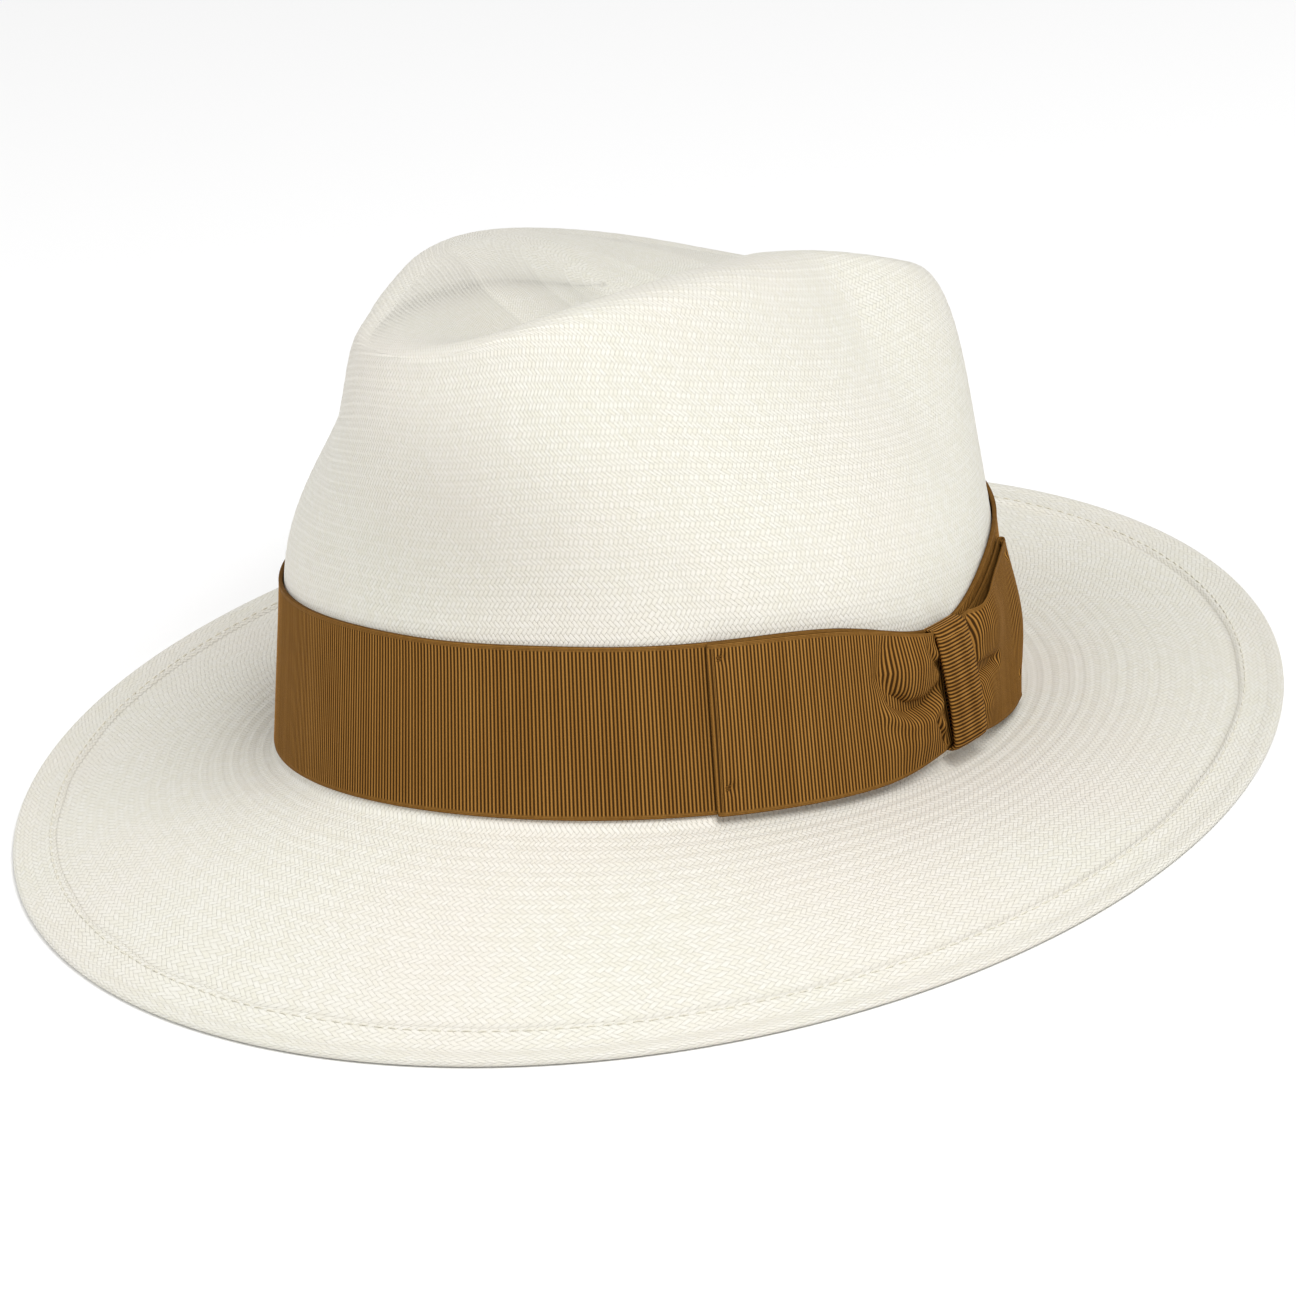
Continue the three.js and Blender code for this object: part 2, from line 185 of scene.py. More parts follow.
def wavy(phi, seed, count=7, first=2):
    """A smooth, closed, repeatable wobble round the hat, about -1 to 1."""
    rng = np.random.default_rng(seed)
    total = 0
    for k in range(first, first + count):
        total = total + rng.normal() * np.cos(k * phi + rng.uniform(0, 6.28)) / math.sqrt(count)
    return total


# ---- meshes ----

def make_mesh(name, points, faces, uvs=None):
    me = bpy.data.meshes.new(name)
    me.from_pydata(points.tolist(), [], faces)
    me.validate()
    if uvs is not None:
        layer = me.uv_layers.new(name="weave")
        layer.data.foreach_set("uv", np.asarray(uvs, np.float32).ravel())
    me.polygons.foreach_set("use_smooth", [True] * len(me.polygons))
    me.calc_loop_triangles()
    index = np.empty(len(me.loop_triangles) * 3, np.int32)
    me.loop_triangles.foreach_get("vertices", index)
    corner = (points - points.mean(0))[index].reshape(-1, 3, 3)
    if np.einsum("ij,ij->i", corner[:, 0], np.cross(corner[:, 1], corner[:, 2])).sum() < 0:
        me.flip_normals()
    me.update()
    ob = bpy.data.objects.new(name, me)
    bpy.context.scene.collection.objects.link(ob)
    return ob


def grid_faces(rows, cols, wrap_rows, wrap_cols, uv):
    """Quads of a grid of points, with the UV of each corner from uv(i, j)."""
    row_quads = rows if wrap_rows else rows - 1
    col_quads = cols if wrap_cols else cols - 1
    i, j = np.meshgrid(np.arange(row_quads), np.arange(col_quads), indexing="ij")
    i, j = i.ravel(), j.ravel()
    corners = [(i, j), (i, j + 1), (i + 1, j + 1), (i + 1, j)]
    faces = np.stack([(a % rows) * cols + b % cols for a, b in corners], 1)
    uvs = np.stack([np.stack(uv(a, b, i), -1) for a, b in corners], 1)
    return faces, uvs


def normals(grid, wrap_cols=True):
    along = np.gradient(grid, axis=0)
    if wrap_cols:
        around = np.roll(grid, -1, 1) - np.roll(grid, 1, 1)
    else:
        around = np.gradient(grid, axis=1)
    n = np.cross(along, around)
    return n / np.maximum(np.linalg.norm(n, axis=-1, keepdims=True), 1e-9)


# ---- straw body ----

def crown_rings(phi, count):
    """Rings of the crown's upper side, evenly spaced from the weave's middle to the foot."""
    share = np.linspace(1, 0, 80)[1:, None]
    top = ridge(phi)
    x = WEAVE_MIDDLE[0] * share + top[:, 0] * (1 - share)
    y = WEAVE_MIDDLE[1] * share + top[:, 1] * (1 - share)
    dent = np.stack([x, y, dent_height(x, y)], -1)
    low = foot_z(phi) + FILLET
    v = np.sin(np.linspace(0, math.pi / 2, 120)[1:, None])
    side = wall(phi[None, :] + 0 * v, top[:, 2] + (low - top[:, 2]) * (1 - np.sqrt(1 - v ** 2)))
    path = np.concatenate([dent, side])
    steps = np.linalg.norm(np.diff(path, axis=0), axis=-1)
    length = np.concatenate([np.zeros((1, len(phi))), np.cumsum(steps, 0)])
    rings = np.empty((count, len(phi), 3))
    for c in range(len(phi)):
        want = np.linspace(0, length[-1, c], count + 1)[1:]
        for k in range(3):
            rings[:, c, k] = np.interp(want, length[:, c], path[:, c, k])
    return lean(rings)


def straw_body():
    phi = np.arange(STITCHES) * 2 * math.pi / STITCHES
    crown_rows = 104
    crown = crown_rings(phi, crown_rows * 2)

    # Brim's upper side: a small fillet, the brim, then the hem folded onto it.
    turn = FILLET * (1 - np.cos(np.radians([30, 60, 90])))
    brim_rows = int((BRIM_WIDTH - HEM_WIDTH) / ROW)
    reach = BRIM_WIDTH - HEM_WIDTH + 0.22 * wavy(phi, 5, 24, 9)
    spread = np.linspace(0, 1, brim_rows * 2 + 1)[1:, None]
    s_plain = FILLET + (reach - FILLET) * spread
    fold = reach + np.array([[0.3], [0.9]])
    hem_rows = int(HEM_WIDTH / ROW)
    over_hem = np.linspace(0, 1, hem_rows * 2 + 1)[1:, None]
    s_hem = fold[1] + (BRIM_WIDTH - EDGE_ROUND - fold[1]) * over_hem
    s_upper = np.concatenate([turn[:, None] + 0 * phi, s_plain, fold, s_hem])
    upper = brim_under(phi[None, :], s_upper)
    rise = np.full(s_upper.shape, STRAW)
    rise[:3] += FILLET - np.sqrt(np.maximum(FILLET ** 2 - (FILLET - s_upper[:3]) ** 2, 0))
    step = 3 + len(s_plain)
    rise[step] = STRAW + (HEM - STRAW) * 0.55
    rise[step + 1:] = HEM
    upper[..., 2] += rise

    # Rounded edge, then the underside.
    turns = np.radians([50, 20, -10, -40, -70])
    s_edge = (BRIM_WIDTH - EDGE_ROUND + EDGE_ROUND * np.cos(turns))[:, None] + 0 * phi
    edge = brim_under(phi[None, :], s_edge)
    edge[..., 2] += (HEM / 2 + HEM / 2 * np.sin(turns))[:, None]
    s_under = np.concatenate([[BRIM_WIDTH - 1.2], np.arange(BRIM_WIDTH - 4.5, 4, -2 * ROW), [2.9, 1.9]])
    under = brim_under(phi[None, :], s_under[:, None] + 0 * phi)

    top = np.concatenate([crown, upper])
    n_top = normals(top)
    ring = np.arange(len(top))
    past = (ring - len(crown)) / 2 * ROW
    wave = np.cos(ring * math.pi / 2)
    ripple = np.where(past < 0, -0.4 * wave, (1.1 + 1.3 * bump(past / 26)) * wave)
    ridged = ripple[:, None, None] * RELIEF / 2
    ridged[len(crown) - 1: len(crown) + 4] = 0
    ridged[len(crown) + step - 1: len(crown) + step + 2] = 0
    lining = top[: len(crown)][::-1] - n_top[: len(crown)][::-1] * STRAW
    lining = lining[3::4]
    top = top + n_top * ridged
    grid = np.concatenate([top, edge, under, lining])

    # The count of stitches halves towards the middle of the weave.
    radius = np.linalg.norm(crown - crown[0].mean(0), axis=-1).mean(1)
    stitches = np.array([STITCHES / 2 ** max(0, math.ceil(math.log2(46 / max(r, 1.5)))) for r in radius])
    per_ring = np.concatenate([stitches, np.full(len(grid) - len(crown), STITCHES)])
    inner = stitches[::-1][3::4]
    per_ring[-len(inner):] = inner
    row_of = np.arange(len(grid)) / 2.0
    first_under = len(top) + len(edge)
    row_of[first_under:] = row_of[first_under] + np.arange(len(grid) - first_under) * 2

    def uv(a, b, i):
        count = per_ring[np.minimum(i, len(per_ring) - 1)]
        return b / STITCHES * count, row_of[np.minimum(a, len(row_of) - 1)]

    faces, uvs = grid_faces(len(grid), STITCHES, False, True, uv)
    points = grid.reshape(-1, 3)
    hubs = np.stack([crown[0].mean(0), grid[-1].mean(0)])
    points = np.concatenate([points, hubs])
    caps, cap_uvs = [], []
    last_ring = (len(grid) - 1) * STITCHES
    for hub, start, flip in ((len(points) - 2, 0, False), (len(points) - 1, last_ring, True)):
        for c in range(STITCHES):
            a, b = start + c, start + (c + 1) % STITCHES
            caps.append((hub, b, a) if flip else (hub, a, b))
            cap_uvs.append([(0, 0), (0.02, 0), (0.02, 0.02)])
    faces = [tuple(f) for f in faces[:, ::-1].tolist()] + caps
    uvs = np.concatenate([uvs[:, ::-1].reshape(-1, 2), np.array(cap_uvs, float).reshape(-1, 2)])
    return make_mesh("straw_weave", place(points), faces, uvs)


# ---- ribbon, as a thin sheet of ribs with a plain selvedge along each edge ----

def gather(phi, spread):
    return bump((np.degrees(phi) - BOW_MIDDLE) / spread)


def ribbon_level(phi):
    return RIBBON_LOW + foot_z(phi) + RIBBON_BACK_RISE * np.maximum(0, -np.cos(phi)) ** 2


def ribbon_low(phi):
    return ribbon_level(phi) + GATHER_LIFT * gather(phi, LIFT_ARC)


def ribbon_high(phi):
    return ribbon_level(phi) + RIBBON_HEIGHT - GATHER_DIP * gather(phi, DIP_ARC)


def rear_wing_high(phi):
    return ribbon_high(phi) - REAR_DROP * ease((np.degrees(phi) - BOW_MIDDLE) / 10)


def ribs(along, height, width):
    """Rib relief at a length along the ribbon, fading into the selvedges."""
    edge = np.minimum(height, width - height)
    body = ease((edge - SELVEDGE * 0.55) / 0.5)
    bead = 0.10 * bump((edge - 0.45) / 0.35)
    return RIB_DEPTH * (np.sqrt(np.abs(np.sin(math.pi * along / RIB))) - 0.6) * body + bead


def sheet_body(name, face, back, uv_u, uv_v, wrap_cols):
    """A closed thin sheet between two grids of points (rows up the ribbon, columns along)."""
    rows, cols = face.shape[:2]
    loop = np.concatenate([face, back[::-1]])
    u = np.concatenate([uv_u, uv_u[::-1]])
    v = np.concatenate([uv_v, uv_v[::-1]])
    total = u.shape[0]

    def uv(a, b, i):
        return u[a % total, np.minimum(b, cols)], v[a % total, np.minimum(b, cols - 1)]

    faces, uvs = grid_faces(total, cols, True, wrap_cols, uv)
    faces = faces.tolist()
    uvs = uvs.reshape(-1, 2)
    if not wrap_cols:
        ends = []
        for r in range(rows - 1):
            a, b = r, r + 1
            c, d = total - 1 - r, total - 2 - r
            ends.append([a * cols, b * cols, d * cols, c * cols])
            ends.append([b * cols + cols - 1, a * cols + cols - 1, c * cols + cols - 1, d * cols + cols - 1])
        faces += ends
        uvs = np.concatenate([uvs, np.zeros((len(ends) * 4, 2))])
    return make_mesh(name, place(loop.reshape(-1, 3)), faces, uvs)


def up_ribbon(count):
    """Heights across the ribbon, 0 to 1, closer together at the selvedges."""
    edge = np.array([0, 0.25, 0.5, 0.8, 1.1, 1.5]) / RIBBON_HEIGHT
    inset = 2.2 / RIBBON_HEIGHT
    return np.concatenate([edge, np.linspace(inset, 1 - inset, count), 1 - edge[::-1]])


def round_length(z):
    """Length along the ribbon at closely spaced angles, at height z."""
    phi = np.linspace(0, 2 * math.pi, 360 * 8 + 1)
    path = beside(phi, 1.0, z + 0 * phi)
    return phi, np.concatenate([[0], np.cumsum(np.linalg.norm(np.diff(path, axis=0), axis=-1))])


ROUND_PHI, ROUND_LENGTH = round_length(20)


def ribbon_band():
    count = int(round(ROUND_LENGTH[-1] / RIB))
    along = np.arange(count * 4) / (count * 4) * ROUND_LENGTH[-1]
    phi = np.interp(along, ROUND_LENGTH, ROUND_PHI)
    h = up_ribbon(9)[:, None]
    low, high = ribbon_low(phi), ribbon_high(phi)
    z = low + (high - low) * h
    pitch = ROUND_LENGTH[-1] / count
    relief = ribs(along * RIB / pitch, h * RIBBON_HEIGHT, RIBBON_HEIGHT)
    rim = 0.12 * wavy(phi, 3, 9, 5)
    out = 0.3 + 0.72 + relief + (0.12 + 0.12 * wavy(phi, 4, 9, 5)) * bump((1 - h) / 0.06)
    face = lean(beside(phi[None, :] + 0 * z, out, z + rim * ease((h - 0.9) / 0.1)))
    back = lean(beside(phi[None, :] + 0 * z, 0.3 + 0 * z, z + rim * ease((h - 0.9) / 0.1)))
    u = np.concatenate([along / pitch, [count]])[None, :] + 0 * h
    v = h * RIBBON_HEIGHT + 0 * along[None, :]
    return sheet_body("ribbon", face, back, u, v, True)


def near_line(x, y, line):
    """Distance to a polyline, and the share of the way along it."""
    best = np.full(np.shape(x), 1e9)
    where = np.zeros(np.shape(x))
    total = len(line) - 1
    for k in range(total):
        (ax, ay), (bx, by) = line[k], line[k + 1]
        t = np.clip(((x - ax) * (bx - ax) + (y - ay) * (by - ay)) / ((bx - ax) ** 2 + (by - ay) ** 2), 0, 1)
        d = np.hypot(x - ax - t * (bx - ax), y - ay - t * (by - ay))
        closer = d < best
        best = np.where(closer, d, best)
        where = np.where(closer, (k + t) / total, where)
    return best, where


def crease(x, y, line, width, depth):
    d, t = near_line(x, y, line)
    return -depth * bump(d / width) * np.sin(math.pi * np.clip(0.1 + 0.85 * t, 0, 1)) ** 0.6


def front_relief(a, z):
    """Height of the front wing's outer layer over the band. a is the distance from the knot."""
    base = 1.55 + 0.5 * bump((a - 32) / 16) + 0.6 * bump((a - 20) / 9) * bump((z - 6) / 9)
    lobe = 3.2 * bump((a - 9) / 9.5) * bump((z - 23) / 8)
    lower = 2.6 * bump((a - 8) / 10) * bump((z - 6) / 5.5)
    lip = 1.3 * bump(near_line(a, z, [(20, 14), (14, 10.5), (7, 10), (1, 12.5)])[0] / 2.2)
    folds = crease(a, z, [(19, 29), (20.5, 23), (17.5, 17), (13, 13.8)], 2.6, 2.3)
    folds += crease(a, z, [(17, 16), (13, 13.6), (7, 13.2), (-2, 16)], 1.5, 3.4)
    folds += crease(a, z, [(5, 9), (2.4, 4), (0, 0)], 0.9, 1.8)
    folds += crease(a, z, [(6, 26), (3, 22), (0, 20)], 0.9, 1.2)
    pleats = 0.45 * np.sin(z * 1.1 + 0.6) * np.exp(-np.maximum(a, 0) / 4)
    return base + lobe + lower + lip + folds + pleats


def rear_relief(a, z):
    """The same for the rear wing."""
    base = 1.55 + 0.4 * bump((a - 30) / 10)
    lobe = 2.6 * bump((a - 14) / 10) * bump((z - 23) / 9)
    lower = 2.0 * bump((a - 7) / 9) * bump((z - 5) / 6)
    folds = crease(a, z, [(16, 34), (10, 31), (5, 27), (3, 20), (4, 15)], 1.9, 3.0)
    folds += crease(a, z, [(17, 13), (11, 13.5), (5, 13), (-2, 15)], 1.6, 3.2)
    pleats = 0.45 * np.sin(z * 1.1 + 2.0) * np.exp(-np.maximum(a, 0) / 4)
    return base + lobe + lower + folds + pleats


TACK_ROWS = {"bottom": 6.5, "top": 36.8}


def wing(name, side, end, high_edge, relief, swell, pull):
    """One half of the bow: a loop of ribbon, folded at its free end, gathered at the knot."""
    knot_phi = math.radians(BOW_MIDDLE + side * (KNOT_HALF - 1.6))
    ends = np.interp([knot_phi, math.radians(end)], ROUND_PHI, ROUND_LENGTH)
    length = abs(ends[1] - ends[0])
    count = int(length / RIB)
    outer = np.linspace(0, length - 1.2, count * 4)
    bend = np.linspace(0, math.pi, 12)[1:-1]
    inner = np.linspace(length - 1.2, 0, 60)
    h = up_ribbon(64)[:, None]
    wide = h * RIBBON_HEIGHT
    fold_out = 1.5 + swell * bump((wide - 21) / 16)
    drawn = pull * ease(1 - wide / 20)

    def at(a, out_of, ribbed):
        sweep = 1.3 * np.exp(-np.maximum(a, 0) / 13) * ((wide - 19) / 19) ** 2
        reach = a[None, :] - drawn * (a[None, :] / length) ** 2 - sweep
        phi = np.interp(ends[0] + side * reach, ROUND_LENGTH, ROUND_PHI)
        low, high = ribbon_low(phi), high_edge(phi)
        z = low + (high - low) * h
        out = out_of(a[None, :] + 0 * h, z)
        return phi, out + ribbed, z

    at_tack = bump((outer[None, :] - length + 3.4) / 1.3)
    dimples = sum(at_tack * bump((wide - t) / 1.3) for t in TACK_ROWS.values())
    closing = ease((outer - 0.6) / 4.4)
    ribbed = ribs(outer[None, :], wide, RIBBON_HEIGHT) - 0.75 * dimples
    ending = ease((outer - length + 11) / 9)

    def upper_out(a, tall):
        free = 1.4 + (relief(a - 2.4, tall) - 1.4) * closing
        return BOW_BACK + free * (1 - ending) + fold_out * ending

    phi, out, z = at(outer, upper_out, ribbed)
    middle, radius = BOW_BACK + (fold_out + 0.15) / 2, (fold_out - 0.15) / 2
    fold_a = length - 1.2 + 1.2 * np.sin(bend)
    folded = at(fold_a, lambda a, zz: middle + radius * np.cos(bend)[None, :], 0)
    lying = at(inner, lambda a, zz: BOW_BACK + 0.15 + 0 * a, 0)
    phi, out, z = (np.concatenate(parts, 1) for parts in zip((phi, out, z), folded, lying))
    face = beside(phi, out, z)
    back = face + side * normals(face, False) * CLOTH
    along = np.concatenate([outer, fold_a + 1, length * 2 - inner]) / RIB
    return sheet_body(name, lean(face), lean(back), along[None, :] + 0 * h, wide + 0 * along[None, :], False)


def knot():
    """The ribbon wrapped round the bow's middle, its ribs running across."""
    loop_z = []
    loop_out = []
    low = RIBBON_LOW + float(foot_z(math.radians(BOW_MIDDLE))) + KNOT_LOW
    high = low + KNOT_TALL
    radius, thick = KNOT_ROUND, KNOT_THICK
    for t in np.linspace(0, 1, 130):
        loop_z.append(high - radius - (high - low - 2 * radius) * t)
        loop_out.append(BOW_BACK + thick - 0.5 * (2 * t - 1) ** 2)
    for a in np.linspace(0, math.pi / 2, 9)[1:]:
        loop_z.append(low + radius - radius * math.sin(a))
        loop_out.append(BOW_BACK + thick - 0.5 - radius + radius * math.cos(a))
    for t in np.linspace(0, 1, 5)[1:]:
        loop_z.append(low)
        loop_out.append(BOW_BACK + (thick - 0.5 - radius) * (1 - t) + 0.1 * t)
    for t in np.linspace(0, 1, 12)[1:]:
        loop_z.append(low + (high - low) * t)
        loop_out.append(BOW_BACK + 0.1)
    for t in np.linspace(0, 1, 5)[1:]:
        loop_z.append(high)
        loop_out.append(BOW_BACK + 0.1 * (1 - t) + (thick - 0.5 - radius) * t)
    for a in np.linspace(math.pi / 2, 0, 9)[1:-1]:
        loop_z.append(high - radius + radius * math.sin(a))
        loop_out.append(BOW_BACK + thick - 0.5 - radius + radius * math.cos(a))
    z = np.array(loop_z)[:, None]
    out = np.array(loop_out)[:, None]
    length = np.concatenate([[0], np.cumsum(np.hypot(np.diff(z[:, 0]), np.diff(out[:, 0])))])[:, None]
    across = np.concatenate([[-1, -0.985, -0.94], np.linspace(-0.88, 0.88, 23), [0.94, 0.985, 1]])[None, :]
    mid = np.radians(BOW_MIDDLE + 0.9 * ((high + low) / 2 - z) / 15)
    phi = mid + np.radians(KNOT_HALF) * across * (1 + 0.05 * (18 - z) / 18)
    round_off = 0.9 * (1 - np.sqrt(np.maximum(1 - np.abs(across) ** 6, 0)))
    front = ease((out - BOW_BACK - 2) / 2)
    rib = RIB_DEPTH * (np.sqrt(np.abs(np.sin(math.pi * (length + across) / RIB))) - 0.6)
    edge = bump((across - 0.42) / 0.05) * 0.16
    outer = out + (rib * (1 - bump((across - 0.42) / 0.07)) + edge - round_off) * front
    face = beside(phi, outer, z + 0 * phi)
    centre_z, centre_out = (high + low) / 2, BOW_BACK + thick / 2
    shrink = 0.55
    z_in = z + np.clip(centre_z - z, -shrink, shrink)
    out_in = outer + np.clip(centre_out - out, -shrink, shrink)
    back = beside(phi, out_in, z_in + 0 * phi)
    ring_u = (length / RIB) + 0 * across
    ring_v = (across + 1) * 6.5 + 6 + 0 * length
    loop = np.concatenate([face, back[:, ::-1]], 1)
    u = np.concatenate([ring_u, ring_u[:, ::-1]], 1)
    v = np.concatenate([ring_v, ring_v[:, ::-1]], 1)
    rows, cols = loop.shape[:2]

    def uv(a, b, i):
        turn = np.where(a >= rows, u[-1, 0] + 0.5, 0)
        return u[a % rows, b % cols] + turn, v[a % rows, b % cols]

    faces, uvs = grid_faces(rows, cols, True, True, uv)
    return make_mesh("bow_wrap", place(lean(loop).reshape(-1, 3)), faces.tolist(), uvs.reshape(-1, 2))


# ---- threads ----

def stitch(points, faces, start, end, radius, bow, up):
    """A short thread from start to end, bowed along up in the middle."""
    start, end, up = np.asarray(start), np.asarray(end), np.asarray(up)
    way = end - start
    way = way / np.linalg.norm(way)
    side = np.cross(way, up)
    side /= np.linalg.norm(side)
    first = len(points)
    steps = np.linspace(0, 1, 7)
    for t in steps:
        centre = start + (end - start) * t + up * (bow * math.sin(math.pi * t))
        size = radius * (0.35 + 0.65 * math.sin(math.pi * (0.08 + 0.84 * t)) ** 0.5)
        for k in range(6):
            a = k * math.pi / 3
            points.append(centre + size * (math.cos(a) * side + math.sin(a) * up))
    for s in range(len(steps) - 1):
        for k in range(6):
            a, b = first + s * 6 + k, first + s * 6 + (k + 1) % 6
            faces.append((a, b, b + 6, a + 6))
    faces.append(tuple(first + k for k in range(5, -1, -1)))
    last = first + (len(steps) - 1) * 6
    faces.append(tuple(last + k for k in range(6)))


def stitch_row(name, at, count, share, radius, bow, seed):
    """Separate stitches round the hat. at(phi) gives the place and the way up."""
    rng = np.random.default_rng(seed)
    points, faces = [], []
    for k in range(count):
        a = (k + rng.uniform(-0.06, 0.06)) / count * 2 * math.pi
        b = a + share / count * 2 * math.pi * rng.uniform(0.9, 1.08)
        start, up = at(a, rng.uniform(-0.12, 0.12))
        end, _ = at(b, rng.uniform(-0.12, 0.12))
        stitch(points, faces, start, end, radius, bow, up)
    return make_mesh(name, place(points), faces)


def hem_stitches():
    def at(phi, shift):
        p = brim_under(np.array([phi]), BRIM_WIDTH - HEM_WIDTH + 1.7 + shift)[0]
        p[2] += HEM + 0.04
        return p, np.array([0, 0, 1.0])
    return stitch_row("hem_stitches", at, 270, 0.62, 0.22, 0.18, 11)


# ---- sweatband ----

BAND_FACE = -(STRAW + 0.3)


def round_solid(name, section, count, uv_scale):
    """A closed ring swept round the crown. section(phi) gives rows of points."""
    phi = np.arange(count) * 2 * math.pi / count
    rows = section(phi)
    total = rows.shape[0]

    def uv(a, b, i):
        return b / count * uv_scale, a / total

    faces, uvs = grid_faces(total, count, True, True, uv)
    return make_mesh(name, place(lean(rows).reshape(-1, 3)), faces.tolist(), uvs.reshape(-1, 2))


def sweatband():
    def section(phi):
        low, high, thick = 1.0, 37.0, 1.1
        z_in = np.linspace(low + 0.2, high - 0.3, 30)
        z_out = z_in[::-1]
        lean_in = 0.5 * ease((z_in - 20) / 17)
        rows = []
        for z, extra in zip(z_in, lean_in):
            wave = (0.10 * wavy(phi, 21, 9, 3) - 0.1) * ease((z - 8) / 20)
            out = BAND_FACE - thick - extra + wave - 0.18 * bump((z - 4) / 1.1)
            rows.append(beside(phi, out * np.ones_like(phi), z + foot_z(phi)))
        rows.append(beside(phi, BAND_FACE - thick * 0.5 - 0.5 + 0 * phi, high + foot_z(phi)))
        for z, extra in zip(z_out[::3], lean_in[::-1][::3]):
            rows.append(beside(phi, BAND_FACE - extra + 0 * phi, z + foot_z(phi)))
        return np.array(rows)
    return round_solid("sweat_leather", section, 220, 160)


def reed():
    def section(phi):
        rows = []
        for k in range(10):
            a = k * math.pi / 5
            r = 0.78 + 0.05 * np.sin(phi * 240)
            rows.append(beside(phi, BAND_FACE - 0.8 + r * math.cos(a), -0.2 + foot_z(phi) + r * math.sin(a)))
        return np.array(rows)
    return round_solid("sweat_reed", section, 720, 240)


def sweat_stitches():
    def at(phi, shift):
        p = lean(beside(np.array([phi]), BAND_FACE - 1.1 - 0.28, 4.0 + shift + foot_z(phi)))[0]
        x, y = outward(phi)
        up = np.array([-x, -y, 0])
        return p, up
    return stitch_row("sweat_stitches", at, 190, 0.66, 0.22, 0.2, 12)


def flat_piece(name, outline, phi_degrees, z0, out, thick, fine):
    """A thin piece on the sweatband: outline(s, t) in mm, s along and t up, -1 to 1."""
    s = np.linspace(-1, 1, fine[0])[None, :]
    t = np.linspace(-1, 1, fine[1])[:, None]
    wide, tall, puff = outline(s, t)
    phi = math.radians(phi_degrees) + wide / 95.0
    z = z0 + tall + foot_z(math.radians(phi_degrees))
    face = lean(beside(phi, out - thick - puff, z))
    back = lean(beside(phi, out + 0 * wide, z))
    return sheet_body(name, face, back, wide + 20, tall + 20, False)


def seam_bow():
    def outline(s, t):
        neck = 0.28 + 0.72 * ease((np.abs(s) - 0.04) / 0.3)
        wide = 14.2 * s + 0 * t
        tall = 4.8 * t * neck
        puff = 0.5 * bump((np.abs(s) - 0.45) / 0.3) * (1 - t ** 2) + 0.5 * bump(s / 0.09)
        puff = puff + 0.12 * np.sqrt(np.abs(np.sin(wide * math.pi / RIB)))
        return wide, tall, puff
    return flat_piece("seam_bow", outline, 180, 12, BAND_FACE - 1.5, 0.5, (121, 21))


def size_slip():
    def outline(s, t):
        return 11 * s + 0 * t, 6 * t + 0 * s, 0.05 * np.cos(s * 3) * np.cos(t * 3)
    return flat_piece("size_slip", outline, 160, 24, BAND_FACE - 1.75, 0.3, (25, 15))


# ---- tacks ----

def tacks():
    made = {}
    for end, stop, inwards in (("front", FRONT_END, 1), ("rear", REAR_END, -1)):
        for row, height in TACK_ROWS.items():
            drawn = 2.0 if (end, row) == ("rear", "bottom") else 0.0
            phi = math.radians(stop + inwards * (1.45 + drawn))
            z = float(ribbon_low(phi)) + height
            points, faces = [], []
            for dz, slope in ((-0.35, 0.2), (0.1, -0.25), (0.45, 0.1)):
                half = math.radians(0.6)
                out = BOW_BACK + 1.35
                a = lean(beside(np.array([phi - half]), out, z + dz - slope))[0]
                b = lean(beside(np.array([phi + half]), out, z + dz + slope))[0]
                x, y = outward(phi)
                stitch(points, faces, a, b, 0.2, 0.25, (x, y, 0))
            made[f"bow_tack_{end}_{row}"] = make_mesh(f"tack_{end}_{row}", place(np.array(points)), faces)
    return made


# ---- materials ----

RIBBON_DARK = (0.29, 0.132, 0.026, 1)
RIBBON_LIGHT = (0.47, 0.235, 0.056, 1)
# RIBBON_GROOVE serves as the painted shade between the ribs and as the dark of the selvedges' closer weave.
RIBBON_GROOVE = (0.022, 0.008, 0.001, 1)


